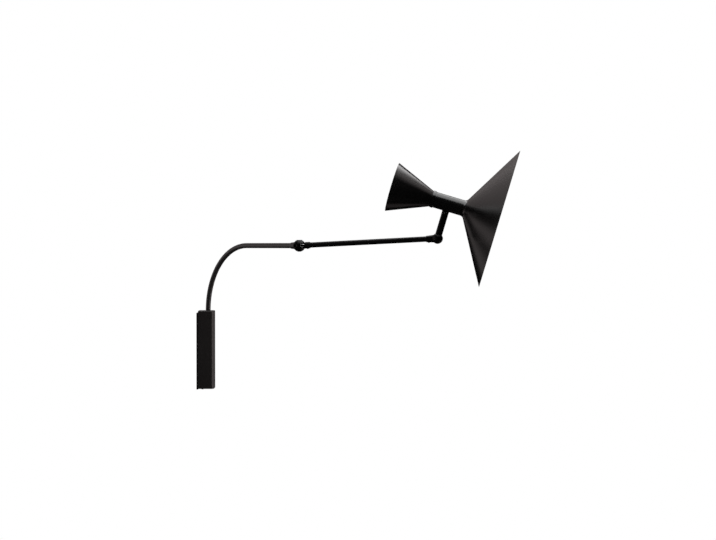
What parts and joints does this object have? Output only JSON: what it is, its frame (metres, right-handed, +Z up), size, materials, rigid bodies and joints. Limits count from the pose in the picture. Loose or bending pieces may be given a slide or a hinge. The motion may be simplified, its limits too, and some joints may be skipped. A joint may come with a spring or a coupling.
{
  "type": "articulating wall lamp",
  "caption": "Wall lamp with a bracket box, a curved swinging arm, a jointed forearm and a tilting head with a large and a small cone shade back to back.",
  "frame": {"origin": "on the wall plate's mounting face, behind the middle of the bracket cover", "axes": "+X out from the wall, +Z up, +Y along the wall, to the left of someone who faces it"},
  "size_m": [1.1778, 0.9974, 0.8783],
  "materials": {
    "black_paint_steel": "satin",
    "black_paint_aluminium": "satin",
    "shade_paint": "satin",
    "black_oxide_steel": "satin",
    "zinc_steel": "satin",
    "plain_aluminium": "satin",
    "bronze": "satin",
    "fibre": "matte",
    "white_nylon": "satin",
    "black_rubber": "matte",
    "terminal_plastic": "satin",
    "holder_plastic": "satin",
    "cap_metal": "satin",
    "opal": "satin"
  },
  "bodies": {
    "bracket": {"wall_plate": "black_paint_steel", "bracket_cover": "black_paint_steel", "cover_lugs": "zinc_steel", "cover_screws": "black_oxide_steel", "upper_bearing_block": "plain_aluminium", "lower_bearing_block": "plain_aluminium", "upper_bush": "bronze", "lower_bush": "bronze", "thrust_washer": "white_nylon", "block_screws": "zinc_steel", "swing_stop_pins": "zinc_steel", "cable_grommet": "black_rubber", "terminal_block": "terminal_plastic", "terminal_screws": "bronze", "earth_screw": "zinc_steel"},
    "lower_arm": {"curved_tube": "black_paint_steel", "tail_grommet": "black_rubber", "retaining_clip": "zinc_steel", "spigot_collar": "zinc_steel", "collar_screw": "black_oxide_steel", "elbow_fork": "black_paint_aluminium", "elbow_grub_screw": "black_oxide_steel", "elbow_pivot_bolt": "black_oxide_steel", "elbow_pivot_nut": "black_oxide_steel", "elbow_spring_washer": "zinc_steel", "elbow_friction_washers": "fibre"},
    "forearm": {"elbow_tongue": "black_paint_aluminium", "elbow_bush": "bronze", "forearm_tube": "black_paint_steel", "forearm_lock_screws": "black_oxide_steel", "wrist_fork": "black_paint_aluminium", "wrist_pivot_bolt": "black_oxide_steel", "wrist_pivot_nut": "black_oxide_steel", "wrist_spring_washer": "zinc_steel", "wrist_friction_washers": "fibre"},
    "stem": {"stem_foot": "black_paint_aluminium", "wrist_bush": "bronze", "stem_tube": "black_paint_steel", "swivel_spindle": "black_oxide_steel", "swivel_stop_pin": "zinc_steel", "swivel_washer": "white_nylon", "swivel_spring_washer": "zinc_steel", "swivel_nut": "zinc_steel"},
    "head": {"neck_tube": "black_paint_aluminium", "swivel_saddle": "black_paint_aluminium", "inner_seat": "plain_aluminium", "large_shade": "shade_paint", "small_shade": "shade_paint", "shade_screws": "black_oxide_steel", "main_holder_disc": "zinc_steel", "small_holder_disc": "zinc_steel", "main_lampholder": "holder_plastic", "small_lampholder": "holder_plastic", "main_bulb_cap": "cap_metal", "main_bulb": "opal", "small_bulb_cap": "cap_metal", "small_bulb": "opal"}
  },
  "joints": [
    {"name": "arm_swing", "type": "hinge", "parent": "bracket", "child": "lower_arm", "pos_m": [0.042, 0, 0], "axis": [0, 0, 1], "range_deg": [-35, 135]},
    {"name": "elbow_turn", "type": "hinge", "parent": "lower_arm", "child": "forearm", "pos_m": [0.40839, -0.43665, 0.4], "axis": [0, 0, 1], "range_deg": [-133, 87]},
    {"name": "head_tilt", "type": "hinge", "parent": "forearm", "child": "stem", "pos_m": [0.89349, -0.68381, 0.42472], "axis": [0.454, 0.891, 0], "range_deg": [-15, 90]},
    {"name": "head_swivel", "type": "hinge", "parent": "stem", "child": "head", "pos_m": [0.92831, -0.70156, 0.54451], "axis": [0.2764, -0.1408, 0.9507], "range_deg": [-136.6, 93.4]}
  ]
}
